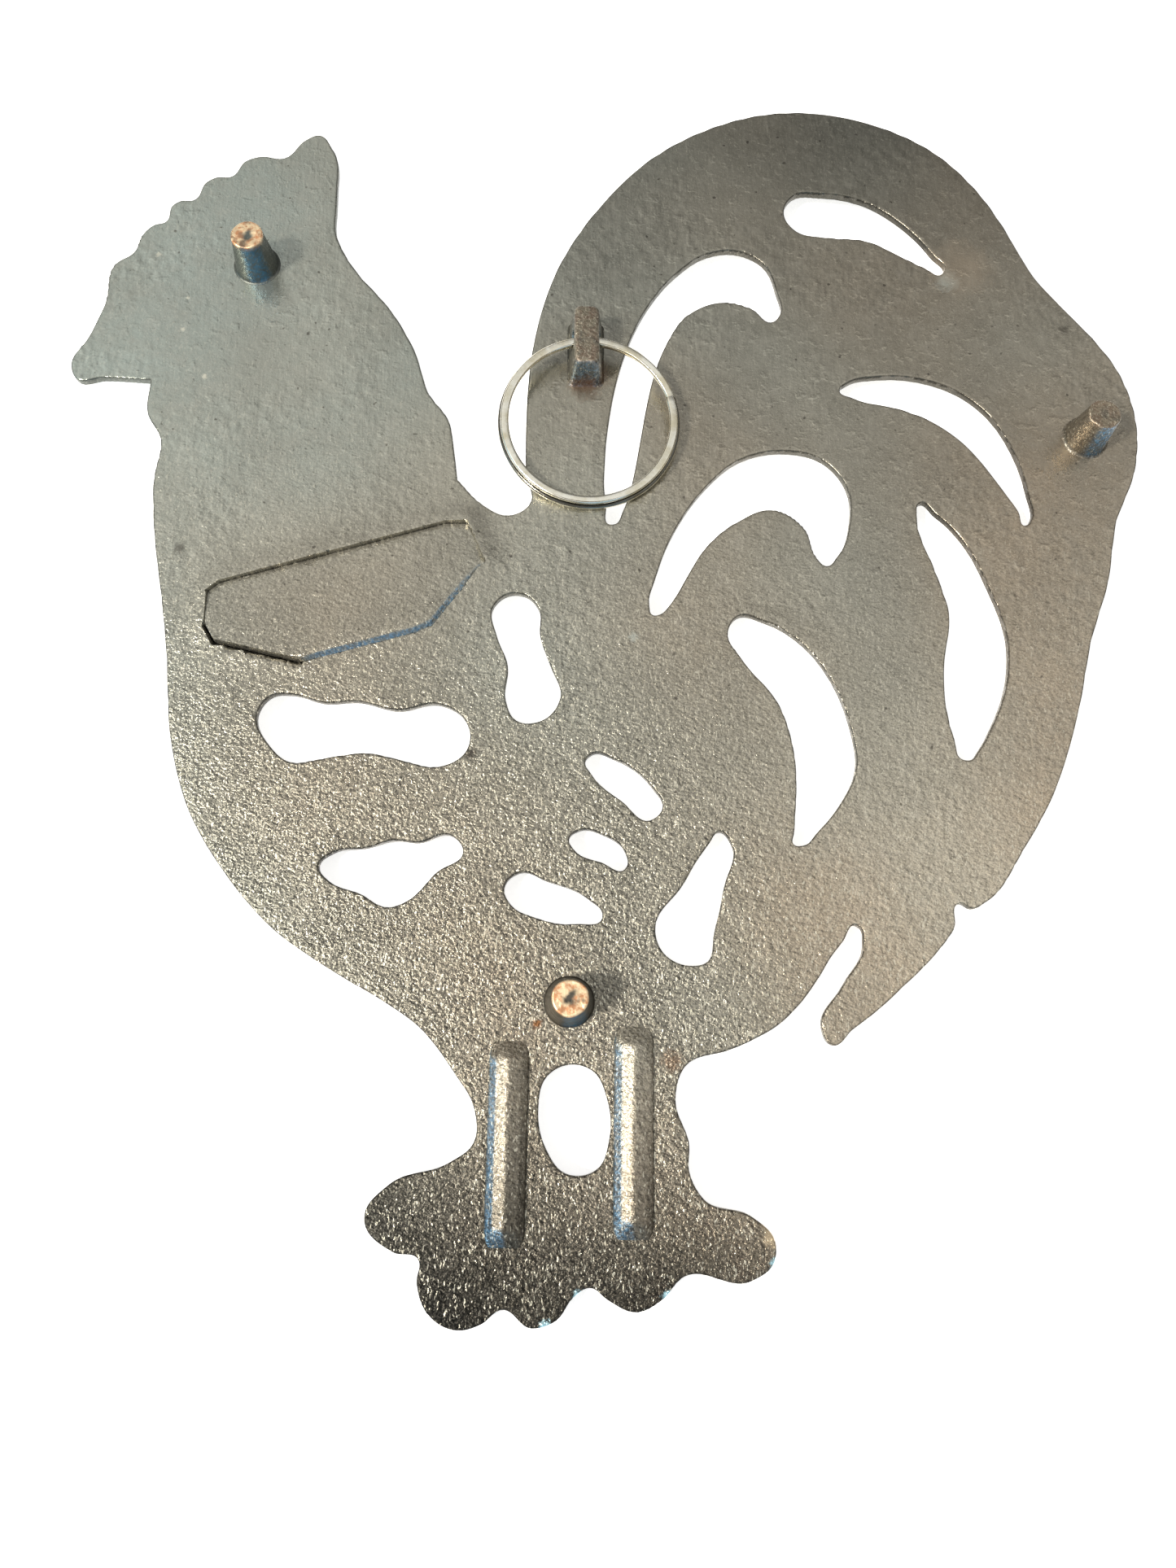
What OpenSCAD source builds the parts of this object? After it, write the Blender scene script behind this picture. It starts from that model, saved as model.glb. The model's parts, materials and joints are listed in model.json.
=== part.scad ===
// Rooster trivet, lying on its show face with the plain back, the three feet and the split ring on top.
// Millimetres. X runs from beak to tail, Y from claws to comb, Z from the show face up along the feet.
// The origin is the middle of the bounding box, on the ground.

/* [Plate] */

// Height of the rooster from claws to tail top, mm
rooster_height = 206; // [160:1:240]
// Thickness of the cast plate, mm
plate_thickness = 4; // [3:0.5:6]
// How far the show face draws in from every edge, mm
edge_round = 1; // [0.5:0.25:1.5]
// Depth of that drawn-in band, mm
edge_depth = 1.5; // [0.5:0.25:2]

/* [Feet] */

// Height of the three feet over the back, mm
foot_height = 7.6; // [4:0.2:12]
// Diameter of a foot at its root, mm
foot_root_d = 7; // [5:0.5:9]
// Diameter of a foot at its ground tip, mm
foot_tip_d = 5.4; // [4:0.2:7]

/* [Hanger] */

// Width of the hanger lug at its root, mm
lug_width = 5.8; // [5:0.2:8]
// Length of the hanger lug at its root, mm
lug_length = 11.8; // [10:0.2:14]
// Height of the hanger lug over the back, mm
lug_height = 6.2; // [6:0.1:7.4]
// Diameter of the cross hole for the ring, mm
lug_hole_d = 3.3; // [3.3:0.1:3.6]
// Height of the cross hole over the back, mm
hinge_height = 3.8; // [3.8:0.1:4]

/* [Split ring] */

// Outside diameter of the split ring, mm
ring_d = 30; // [26:1:32]
// Width of the coiled strip seen from above, mm
ring_strip = 1.4; // [1.2:0.1:1.4]
// Height of the two turns together, mm
ring_stack = 2; // [1.8:0.1:2]

/* [Ribs and panel] */

// Width of the two leg ribs at the root, mm
rib_width = 5.8; // [4:0.2:7]
// Height of the leg ribs over the back, mm
rib_height = 2; // [1:0.2:3]
// Height of the blank maker's panel at its lower edge, mm
panel_height = 0.8; // [0.4:0.1:1.4]

/* [Hidden] */

// Turn of a smooth edge from one facet to the next, degrees
facet_turn = 7;
// The outline is drawn at this height and scaled to rooster_height
drawn_height = 206;
grow = rooster_height / drawn_height;
back_z = plate_thickness;

head_foot_at = [-61, 67.8];
tail_foot_at = [81.4, 37.2];
breast_foot_at = [-6.4, -58];
lug_at = [-4, 51.3];
ring_x = -3.5;
left_rib_at = [-15.3, -78];
left_rib_length = 28.5;
right_rib_at = [3, -76.5];
right_rib_length = 29.5;
rib_turn = -0.8;

// The ring rests a hair over the back at its far side
ring_gap = 0.3;
ring_mid_r = (ring_d - ring_strip) / 2;
ring_drop = hinge_height - ring_gap - ring_stack / 2;
ring_tilt = asin(ring_drop / (2 * ring_mid_r));

plated = [0.60, 0.58, 0.53];
worn = [0.66, 0.55, 0.45];
bright = [0.82, 0.81, 0.76];

// Outline points. A third value of 1 makes the point a sharp corner.
face_and_comb = [
    [-90.7, 47.4],
    [-88.5, 52.7],
    [-86.2, 60],
    [-85, 67.8],
    [-82.6, 69.6],
    [-80.8, 74.2],
    [-79.4, 75.6],
    [-77.6, 76.2],
    [-76.5, 79.8],
    [-75.2, 80.7],
    [-73.1, 80.9],
    [-71.1, 84.7],
    [-69.4, 85.8],
    [-66.9, 86],
    [-64.5, 89.4],
    [-62, 90.4],
    [-57.8, 90.2],
    [-54.2, 94.2],
    [-52, 95.3],
    [-49.3, 92.3],
    [-48, 82],
    [-47.6, 74],
    [-45.4, 69.3]
];
nape = [
    [-37, 58.5],
    [-32.8, 50.5],
    [-30.5, 43.3],
    [-27, 38.2],
    [-26.1, 33.5],
    [-25.3, 27.4, 1],
    [-21, 22.9],
    [-16.8, 21.1],
    [-13.4, 23],
    [-13.9, 29],
    [-14, 39]
];
tail_sweep = [
    [-13, 53],
    [-9.6, 66.7],
    [-2, 80.8],
    [5.8, 90.2],
    [17.5, 98.4],
    [29, 102.4],
    [37, 103],
    [50, 100.3],
    [59.7, 94.9],
    [67.7, 85.6],
    [72, 77.2],
    [75.6, 69.2],
    [83.5, 58.7],
    [88.4, 51],
    [90.7, 41],
    [89.2, 30.5],
    [85.3, 22],
    [82.6, 10.8],
    [78.6, 0.3],
    [75.5, -11],
    [70.5, -24.2],
    [64, -34.8],
    [57.5, -42.8],
    [55.4, -43.8]
];
tail_feather = [
    [53.6, -43],
    [52.4, -46.6],
    [50, -49.8],
    [43.9, -55.6],
    [36, -61.9],
    [32.2, -64],
    [31.3, -62],
    [34.8, -55.4],
    [38.2, -49.3],
    [37.7, -46.6],
    [35, -49]
];
rump = [
    [29, -57.2],
    [24.9, -61.2],
    [17.5, -64.9],
    [10.5, -67.6],
    [9.2, -72],
    [11.1, -78.5],
    [11, -82],
    [13, -85.8],
    [20, -88.3],
    [23.1, -91.6],
    [22.7, -94.6],
    [19.6, -96.8],
    [9.6, -96.4]
];
claws = [
    [6.8, -99.2],
    [3, -100.8],
    [-0.8, -99.2],
    [-3.4, -97.6],
    [-5.6, -98.8],
    [-8, -101.8],
    [-11.5, -102.8],
    [-15.8, -100.4],
    [-18.4, -102.2],
    [-21.8, -103],
    [-25.8, -101],
    [-27.6, -96.5],
    [-27.4, -93.9],
    [-31, -92.8],
    [-35.3, -88],
    [-32, -83.7],
    [-23.6, -80.8],
    [-20.1, -78],
    [-20.1, -73.4],
    [-23.2, -68.2]
];
breast = [
    [-28, -62.2],
    [-40.2, -54.4],
    [-50.5, -47.6],
    [-58.5, -39],
    [-65, -28.8],
    [-68.4, -18.2],
    [-70.2, -4.6],
    [-72, 6],
    [-74, 16.4],
    [-75, 27],
    [-74.6, 34],
    [-77.2, 38.8],
    [-77.2, 45, 1],
    [-85, 45.3],
    [-89.6, 45]
];
outline = concat(face_and_comb, nape, tail_sweep, tail_feather, rump, claws, breast);

cutouts = [
    [
        [31.5, 81],
        [33.2, 84.8],
        [38.7, 85.5],
        [45.7, 84.2],
        [52.7, 79.5],
        [57.8, 73.3],
        [59.6, 69.9],
        [58.7, 69.1],
        [56.8, 70],
        [52.7, 72.3],
        [46, 75.7],
        [38.5, 76.3],
        [33.4, 77.6]
    ],
    [
        [0.7, 19.8],
        [-0.6, 23.5],
        [-0.8, 30],
        [0, 39.1],
        [2.3, 50.3],
        [6.7, 61.1],
        [11.9, 68.1],
        [17.5, 72.3],
        [22.3, 73.1],
        [27.2, 70.8],
        [29.5, 65],
        [29.9, 60.3],
        [28.7, 58.9],
        [25.2, 61.2],
        [20, 62.5],
        [14, 60],
        [9.8, 53.6],
        [6.3, 41.5],
        [4, 28.5],
        [2.2, 22.2]
    ],
    [
        [39.7, 45.8],
        [41, 47],
        [46.7, 48.4],
        [53.7, 48.1],
        [60.2, 45.7],
        [65.3, 41.2],
        [68.8, 34.6],
        [70.6, 27],
        [70.7, 21.8],
        [70, 20.9],
        [68.7, 23.2],
        [65.3, 29],
        [60.2, 36],
        [55, 40],
        [48.5, 42.5],
        [42, 44.1]
    ],
    [
        [6.4, 5.2],
        [7.5, 10.5],
        [11.4, 20],
        [16, 26.7],
        [22, 32],
        [29, 33.8],
        [36, 32.2],
        [39.9, 27],
        [40, 20.6],
        [37.6, 14.6],
        [35.6, 12.9],
        [34.2, 14.2],
        [32.3, 19.5],
        [27.3, 22.8],
        [21, 20.4],
        [15.6, 15.5],
        [12.3, 10],
        [9.4, 5.2],
        [8.2, 4],
        [6.8, 3.9]
    ],
    [
        [51.9, 24.4],
        [51.4, 22.4],
        [53.7, 12.2],
        [55.5, 4.3],
        [54.1, -3.8],
        [53.8, -11.5],
        [54.8, -17.4],
        [55.6, -19.9],
        [57, -20.1],
        [58.5, -18.5],
        [60.7, -14.9],
        [64, -7],
        [64.7, 1],
        [62.5, 9.4],
        [59, 17.5],
        [54.6, 22.6]
    ],
    [
        [19.1, 1.2],
        [20.7, 3.7],
        [25, 3],
        [31.5, -1.2],
        [35.5, -6.9],
        [38.2, -15],
        [38.7, -21.4],
        [35.4, -28.1],
        [32.2, -31.8],
        [29.6, -34.1],
        [28.4, -34],
        [28.4, -32],
        [28.9, -27],
        [29, -20],
        [26.4, -10.4],
        [21.3, -3.8]
    ],
    [
        [-16, 7.2],
        [-18.8, 5],
        [-18.2, -0.2],
        [-16.4, -5],
        [-16.6, -11],
        [-14.9, -14.3],
        [-11, -14.3],
        [-8, -10.4],
        [-9.6, -5],
        [-11.3, 0],
        [-11.6, 4.7],
        [-13.6, 6.9]
    ],
    [
        [-55.2, -13],
        [-53.2, -10.6],
        [-50, -10.4],
        [-45, -11.7],
        [-40, -11.4],
        [-33.5, -12.8],
        [-26.8, -11.8],
        [-23, -14.2],
        [-22.4, -18.8],
        [-27, -22],
        [-32, -21.2],
        [-38, -19.9],
        [-45, -20.9],
        [-50, -21.4],
        [-53, -19]
    ],
    [
        [-4, -20.9],
        [-2.8, -19.6],
        [0.5, -20.4],
        [6.5, -25],
        [8, -28.2],
        [6.6, -30],
        [1.6, -27.2],
        [-3.1, -22.9]
    ],
    [
        [-6.5, -33.4],
        [-4.8, -31.9],
        [-1.2, -32.6],
        [2, -35],
        [2.3, -37.6],
        [-1.6, -36.9],
        [-5.8, -34.9]
    ],
    [
        [-16.3, -41],
        [-14, -38.6],
        [-10, -39.8],
        [-3.5, -42.6],
        [-1.4, -45],
        [-5.5, -46.4],
        [-11.5, -45.5],
        [-15.2, -43.6]
    ],
    [
        [-44.5, -37.8],
        [-42.3, -35.6],
        [-37.5, -34.9],
        [-33.2, -33.7],
        [-29.5, -34],
        [-24.3, -33],
        [-22.8, -34.9],
        [-26.5, -38.5],
        [-31.8, -43.5],
        [-33.5, -44],
        [-38, -42],
        [-43, -39.9]
    ],
    [
        [17, -32],
        [18.5, -33.7],
        [17.3, -40.5],
        [15.6, -47.5],
        [13.9, -52.3],
        [12.2, -52.6],
        [7.2, -49.8],
        [6.6, -47.5],
        [10.9, -40.4],
        [15.1, -33.9]
    ],
    [
        [-9.6, -68.8],
        [-6.3, -67.1],
        [-2.9, -68],
        [-0.8, -72],
        [-0.5, -77.5],
        [-2.4, -81.8],
        [-6.8, -82.3],
        [-9.6, -79],
        [-10.8, -73.2]
    ]
];

panel_outline = [
    [-64.8, 1.5],
    [-64.8, 7],
    [-63, 8.6],
    [-27, 19.7],
    [-23.5, 19.7],
    [-20.3, 12.5],
    [-21.5, 11.3],
    [-28.5, 1.5],
    [-31, 0.2],
    [-48.6, -5],
    [-63, -1.6]
];

// Direction of the curve at a point: that of the circle through it and its two neighbours.
function flat(p) = [p[0], p[1]];
function sharp(p) = len(p) > 2;
function along(a, b) = a / (a * a) + b / (b * b);
function heading(p, i) =
    let (n = len(p))
    let (here = flat(p[i]))
    let (t = along(here - flat(p[(i + n - 1) % n]), flat(p[(i + 1) % n]) - here))
    t / norm(t);

// How far the curve leans away from the straight line between two points, degrees.
function lean(t, chord) = acos(max(-1, min(1, t * chord / norm(chord))));
function pull(t, chord) = t * norm(chord) * 2 / (1 + max(-0.2, t * chord / norm(chord)));

// Point at share s of a span that leaves a along u and reaches b along v.
function span_at(a, b, u, v, s) =
    a * (2 * s * s * s - 3 * s * s + 1) +
    u * (s * s * s - 2 * s * s + s) +
    b * (3 * s * s - 2 * s * s * s) +
    v * (s * s * s - s * s);

function span(p, i) =
    let (j = (i + 1) % len(p))
    let (a = flat(p[i]))
    let (b = flat(p[j]))
    let (u = heading(p, i))
    let (v = heading(p, j))
    let (bend = lean(u, b - a) + lean(v, b - a))
    let (steps = max(2, ceil(bend / facet_turn)))
    let (from = sharp(p[i]) ? b - a : pull(u, b - a))
    let (to = sharp(p[j]) ? b - a : pull(v, b - a))
    [for (k = [0 : steps - 1]) span_at(a, b, from, to, k / steps)];

// Closed smooth loop through the points.
function smooth(p) = [for (i = [0 : len(p) - 1]) each span(p, i)];

module rooster_shape() {
    difference() {
        polygon(smooth(outline) * grow);
        for (hole = cutouts) {
            polygon(smooth(hole) * grow);
        }
    }
}

module edge_band() {
    linear_extrude(edge_depth) {
        offset(delta = -edge_round) {
            rooster_shape();
        }
    }
}

module rooster_plate() {
    color(plated) {
        edge_band();
        difference() {
            translate([0, 0, edge_depth]) {
                linear_extrude(plate_thickness - edge_depth) {
                    polygon(smooth(outline) * grow);
                }
            }
            for (hole = cutouts) {
                linear_extrude(plate_thickness + 1) {
                    polygon(smooth(hole) * grow);
                }
            }
        }
    }
}

// A tapered round foot with a flared root and an eased tip.
module foot(at) {
    root = foot_root_d / 2;
    tip = foot_tip_d / 2;
    translate([at[0] * grow, at[1] * grow, back_z]) {
        rotate_extrude($fn = 48) {
            polygon([
                [0, 0],
                [root + 0.5, 0],
                [root + 0.15, 0.25],
                [root, 0.7],
                [tip + 0.1, foot_height - 0.35],
                [tip - 0.2, foot_height],
                [0, foot_height]
            ]);
        }
    }
}

module head_foot() {
    color(worn) {
        foot(head_foot_at);
    }
}

module tail_foot() {
    color(worn) {
        foot(tail_foot_at);
    }
}

module breast_foot() {
    color(worn) {
        foot(breast_foot_at);
    }
}

// A tapered block whose cross hole carries the split ring.
module hanger_lug() {
    top_width = lug_width - 1.8;
    top_length = lug_length - 1;
    color(worn) {
        translate([lug_at[0] * grow, lug_at[1] * grow, back_z]) {
            difference() {
                hull() {
                    translate([-lug_width / 2, -lug_length / 2 + 0.6, 0]) {
                        cube([lug_width, lug_length - 1.2, 0.4]);
                    }
                    translate([-lug_width / 2 + 0.6, -lug_length / 2, 0]) {
                        cube([lug_width - 1.2, lug_length, 0.4]);
                    }
                    translate([-top_width / 2, -top_length / 2 + 0.5, lug_height - 0.9]) {
                        cube([top_width, top_length - 1, 0.4]);
                    }
                    translate([-top_width / 2 + 0.5, -top_length / 2 + 0.4, lug_height - 0.4]) {
                        cube([top_width - 1, top_length - 0.8, 0.4]);
                    }
                }
                translate([-lug_width, 0, hinge_height]) {
                    rotate([0, 90, 0]) {
                        cylinder(h = 2 * lug_width, d = lug_hole_d, $fn = 64);
                    }
                }
            }
        }
    }
}

// A rounded stiffening bar down the back of a leg, with sloped ends.
module leg_rib(at, length) {
    crest_r = 1.4;
    translate([at[0] * grow, at[1] * grow, back_z]) {
        rotate([0, 0, rib_turn]) {
            hull() {
                translate([-rib_width / 2, -length / 2, 0]) {
                    cube([rib_width, length, 0.2]);
                }
                translate([0, length / 2 - 1.2, rib_height - crest_r]) {
                    rotate([90, 0, 0]) {
                        intersection() {
                            cylinder(h = length - 2.4, r = crest_r, $fn = 32);
                            translate([-crest_r, 0, 0]) {
                                cube([2 * crest_r, crest_r, length]);
                            }
                        }
                    }
                }
            }
        }
    }
}

module left_leg_rib() {
    color(plated) {
        leg_rib(left_rib_at, left_rib_length);
    }
}

module right_leg_rib() {
    color(plated) {
        leg_rib(right_rib_at, right_rib_length);
    }
}

// A blank pad that stands proud at its lower edge and fades out towards its upper edge.
module maker_panel() {
    color(plated) {
        translate([0, 0, back_z]) {
            difference() {
                linear_extrude(panel_height) {
                    polygon(panel_outline * grow);
                }
                translate([-48.6 * grow, -5 * grow, panel_height]) {
                    rotate([0, 0, 17]) {
                        rotate([-1.6, 0, 0]) {
                            translate([-50, 0, 0]) {
                                cube([120, 60, 5]);
                            }
                        }
                    }
                }
            }
        }
    }
}

// Two turns of flat strip with a fine groove between them.
module split_ring() {
    r = ring_strip / 2;
    h = ring_stack / 2;
    e = 0.25;
    g = 0.12;
    color(bright) {
        translate([ring_x * grow, lug_at[1] * grow, back_z + hinge_height]) {
            rotate([ring_tilt, 0, 0]) {
                translate([0, -ring_mid_r, 0]) {
                    rotate_extrude($fn = 96) {
                        translate([ring_mid_r, 0]) {
                            polygon([
                                [-r, e],
                                [-r, h - e],
                                [e - r, h],
                                [r - e, h],
                                [r, h - e],
                                [r, e],
                                [r - g, 0],
                                [r, -e],
                                [r, e - h],
                                [r - e, -h],
                                [e - r, -h],
                                [-r, e - h],
                                [-r, -e],
                                [g - r, 0]
                            ]);
                        }
                    }
                }
            }
        }
    }
}

rooster_plate();
head_foot();
tail_foot();
breast_foot();
hanger_lug();
left_leg_rib();
right_leg_rib();
maker_panel();
split_ring();
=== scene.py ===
"""Looks of the rooster trivet: a plated casting lying on its show face, with a split ring on its back.

Lengths are in metres, in the row frame: X from beak to tail, Y from claws to comb, Z up out of the back.
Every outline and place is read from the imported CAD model. Each casting piece is one closed skin. The plate
and the panel are built over a triangulated outline, with their heights worked out from the distance to the
edge. The ribs, the feet, the lug and the ring are lofted through rings of points.
"""

import json
import math

import bpy
import numpy as np
from mathutils import Matrix, Vector, noise
from mathutils.geometry import delaunay_2d_cdt
from mathutils.kdtree import KDTree


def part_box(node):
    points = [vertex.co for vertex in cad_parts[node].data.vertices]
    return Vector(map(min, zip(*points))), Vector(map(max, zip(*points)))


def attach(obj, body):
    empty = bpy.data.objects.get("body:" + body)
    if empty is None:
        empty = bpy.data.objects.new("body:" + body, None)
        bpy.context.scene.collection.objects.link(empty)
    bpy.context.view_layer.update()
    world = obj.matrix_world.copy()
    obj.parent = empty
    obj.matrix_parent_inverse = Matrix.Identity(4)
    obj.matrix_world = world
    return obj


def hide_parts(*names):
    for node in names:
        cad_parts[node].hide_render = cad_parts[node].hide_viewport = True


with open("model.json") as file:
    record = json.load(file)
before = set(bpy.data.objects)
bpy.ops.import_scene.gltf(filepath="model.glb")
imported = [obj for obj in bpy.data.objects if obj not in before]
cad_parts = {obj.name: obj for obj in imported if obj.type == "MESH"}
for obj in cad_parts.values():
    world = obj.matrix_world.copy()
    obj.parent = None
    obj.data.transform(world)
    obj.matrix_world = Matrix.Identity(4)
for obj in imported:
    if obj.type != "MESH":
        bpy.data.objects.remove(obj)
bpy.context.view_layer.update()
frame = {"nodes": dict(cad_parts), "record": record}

MM = 0.001
PLATE_LOW, PLATE_HIGH = (Vector(c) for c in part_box("rooster_plate"))
BACK = PLATE_HIGH.z
HALF_WIDTH = PLATE_HIGH.x
HALF_HEIGHT = PLATE_HIGH.y

# The plate's section: a thin edge, rolled at the back, that thickens towards the middle of each web
EDGE_THICKNESS = 1.3 * MM
EDGE_ROLL = 0.25 * MM
DOME_REACH = 6 * MM

# How fine the skins are
PLATE_PITCH = 0.9 * MM
RIM_PITCH = 0.55 * MM
RIM_OFFSETS = (0.12 * MM, 0.3 * MM, 0.6 * MM)
CORNER = math.radians(32)
# The rows of a triangular grid are this many pitches apart
ROW_SHARE = math.sqrt(0.75)


# ---------------------------------------------------------------- outlines


def flat_face_loops(node, height):
    """Closed loops of points round the flat face that a CAD node has at that height, metal on their left."""
    mesh = frame["nodes"][node].data
    sides = set()
    for face in mesh.polygons:
        corners = [mesh.vertices[i].co for i in face.vertices]
        if any(abs(c.z - height) > 1e-6 for c in corners):
            continue
        keys = [(round(c.x, 6), round(c.y, 6)) for c in corners]
        if face.normal.z < 0:
            keys.reverse()
        sides.update(zip(keys, keys[1:] + keys[:1]))
    after = {a: b for a, b in sides if (b, a) not in sides}
    loops = []
    while after:
        start, here = after.popitem()
        loop = [start]
        while here != start:
            loop.append(here)
            here = after.pop(here)
        loops.append(np.array(loop))
    return loops


def smooth_loop(points, pitch, corner):
    """The loop drawn on through its points as a smooth curve, except at corners that turn more than that."""
    ahead = np.roll(points, -1, 0) - points
    behind = np.roll(ahead, 1, 0)
    heading = ahead / (ahead**2).sum(1)[:, None] + behind / (behind**2).sum(1)[:, None]
    heading /= np.linalg.norm(heading, axis=1)[:, None]
    length = np.linalg.norm(ahead, axis=1)
    cosine = (ahead * behind).sum(1) / (length * np.roll(length, 1))
    sharp = np.arccos(np.clip(cosine, -1, 1)) > corner
    out = []
    for i, start in enumerate(points):
        j = (i + 1) % len(points)
        leave = ahead[i] if sharp[i] else heading[i] * length[i]
        reach = ahead[i] if sharp[j] else heading[j] * length[i]
        steps = max(1, round(length[i] / pitch))
        s = (np.arange(steps) / steps)[:, None]
        out.append(
            start * (2 * s**3 - 3 * s**2 + 1)
            + leave * (s**3 - 2 * s**2 + s)
            + points[j] * (3 * s**2 - 2 * s**3)
            + reach * (s**3 - s**2)
        )
    return np.concatenate(out)


class Outline:
    """The smooth outline of a flat region, its holes, and how far any point is from them."""

    def __init__(self, loops, pitch, corner=CORNER):
        self.loops = [smooth_loop(loop, pitch, corner) for loop in loops]
        self.start = np.concatenate(self.loops).T.copy()
        self.end = np.concatenate([np.roll(loop, -1, 0) for loop in self.loops]).T.copy()
        fine = [smooth_loop(loop, pitch / 3, corner) for loop in loops]
        dots = np.concatenate(fine)
        self.tree = KDTree(len(dots))
        for i, (x, y) in enumerate(dots):
            self.tree.insert((x, y, 0), i)
        self.tree.balance()
        self.low, self.high = dots.min(0), dots.max(0)

    def depth(self, x, y):
        """How far the point is from the nearest edge, inside or outside."""
        return self.tree.find((x, y, 0))[2]

    def crossings(self, y):
        """Where the loops cross the line at that y, in order."""
        hit = np.flatnonzero((self.start[1] > y) != (self.end[1] > y))
        ax, ay = self.start[:, hit]
        bx, by = self.end[:, hit]
        return np.sort(ax + (y - ay) / (by - ay) * (bx - ax))

    def holds(self, x, y):
        """Whether the point is in the region, and not in a hole."""
        return np.searchsorted(self.crossings(y), x) % 2 == 1


def inward_normals(loop):
    """At each point of a loop, the level direction into the metal."""
    tangent = np.roll(loop, -1, 0) - np.roll(loop, 1, 0)
    tangent /= np.linalg.norm(tangent, axis=1)[:, None]
    return np.stack([-tangent[:, 1], tangent[:, 0]], 1)


def rim_points(outline, offsets):
    """Points that follow every edge at each of those depths, where there is room for them."""
    out = []
    for loop in outline.loops:
        inward = inward_normals(loop)
        for offset in offsets:
            for x, y in loop + inward * offset:
                if outline.depth(x, y) > 0.96 * offset and outline.holds(x, y):
                    out.append((x, y))
    return out


def grid_points(outline, pitch, clear):
    """A triangular grid over the region, that far clear of its edges."""
    out = []
    rows = int((outline.high[1] - outline.low[1]) / (pitch * ROW_SHARE))
    for row in range(1, rows + 1):
        y = outline.low[1] + row * pitch * ROW_SHARE
        x = np.arange(outline.low[0] + (row % 2) * pitch / 2, outline.high[0], pitch)
        x = x[np.searchsorted(outline.crossings(y), x) % 2 == 1]
        out += [(a, y) for a in x if outline.depth(a, y) > clear]
    return out


def triangulate(outline, pitch, offsets, extra=()):
    """(points, triangles) that fill the region, finer along its edges."""
    rim = np.concatenate(outline.loops)
    inner = rim_points(outline, offsets) + list(extra)
    inner += grid_points(outline, pitch, offsets[-1] + pitch / 2)
    points = [Vector(p) / MM for p in [*map(tuple, rim), *inner]]
    edges = []
    first = 0
    for loop in outline.loops:
        ring = range(first, first + len(loop))
        edges += [(i, first + (i + 1 - first) % len(loop)) for i in ring]
        first += len(loop)
    spots, _, faces, _, _, _ = delaunay_2d_cdt(points, edges, [], 0, 1e-5)
    xy = np.array([tuple(p) for p in spots]) * MM
    kept = []
    for face in faces:
        a, b, c = (xy[i] for i in face)
        # The triangulation spans the holes too, and may turn a triangle either way
        if outline.holds(*((a + b + c) / 3)):
            turn = (b[0] - a[0]) * (c[1] - a[1]) - (b[1] - a[1]) * (c[0] - a[0])
            kept.append(tuple(face) if turn > 0 else tuple(reversed(face)))
    return xy, kept


# ---------------------------------------------------------------- meshes


def add_mesh(name, points, faces, smooth_angle=50):
    """A new object with a smooth-shaded mesh, creased where faces meet at more than that many degrees."""
    mesh = bpy.data.meshes.new(name)
    mesh.from_pydata([tuple(p) for p in points], [], faces)
    mesh.validate()
    mesh.shade_smooth()
    mesh.set_sharp_from_angle(angle=math.radians(smooth_angle))
    piece = bpy.data.objects.new(name, mesh)
    bpy.context.scene.collection.objects.link(piece)
    return piece


def slab(name, xy, triangles, top, bottom):
    """A closed skin: the triangles at the top heights and, turned over, at the bottom heights, and a wall."""
    count = len(xy)
    points = [(*p, z) for p, z in zip(xy, top)] + [(*p, z) for p, z in zip(xy, bottom)]
    faces = list(triangles)
    faces += [tuple(count + i for i in reversed(face)) for face in triangles]
    sides = {side for f in triangles for side in zip(f, f[1:] + f[:1])}
    rim = [(a, b) for a, b in sides if (b, a) not in sides]
    middle = {}
    for a, _ in sorted(rim):
        middle[a] = len(points)
        points.append((*xy[a], (top[a] + bottom[a]) / 2))
    for a, b in sorted(rim):
        faces.append((b, a, middle[a], middle[b]))
        faces.append((middle[b], middle[a], count + a, count + b))
    return add_mesh(name, points, faces)


def loft(name, rings, smooth_angle=50):
    """A closed skin through rings of equally many points, each end closed by a fan."""
    size = len(rings[0])
    points = [p for ring in rings for p in ring]
    faces = []
    for k in range(len(rings) - 1):
        for i in range(size):
            j = (i + 1) % size
            a, b = k * size, (k + 1) * size
            faces.append((a + i, a + j, b + j, b + i))
    for ring, turn in ((0, -1), (len(rings) - 1, 1)):
        points.append(sum((Vector(p) for p in rings[ring]), Vector()) / size)
        for i in range(size):
            side = (ring * size + i, ring * size + (i + 1) % size)
            faces.append((*side[::turn], len(points) - 1))
    return add_mesh(name, points, faces, smooth_angle)


def circle(middle, radius, height, wobble, size=64):
    """One level ring of a turned shape, a little out of round."""
    ring = []
    for i in range(size):
        turn = 2 * math.pi * i / size
        out = Vector((math.cos(turn), math.sin(turn), 0))
        seed = out * 1.7 + Vector((middle.x, middle.y, height)) / MM * 0.35
        ring.append(Vector((middle.x, middle.y, height)) + out * (radius + wobble * noise.noise(seed)))
    return ring


def rounded_rectangle(half_a, half_b, corner, size):
    """Pairs round a rectangle with rounded corners, that many at each."""
    pairs = []
    for quarter, (side_a, side_b) in enumerate(((1, 1), (-1, 1), (-1, -1), (1, -1))):
        for i in range(size):
            turn = math.pi / 2 * (quarter + i / (size - 1))
            a = side_a * (half_a - corner) + corner * math.cos(turn)
            b = side_b * (half_b - corner) + corner * math.sin(turn)
            pairs.append((a, b))
    return pairs


def ease(low, high, value):
    """0 at low, 1 at high, smooth between."""
    s = min(max((value - low) / (high - low), 0), 1)
    return s * s * (3 - 2 * s)


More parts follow.
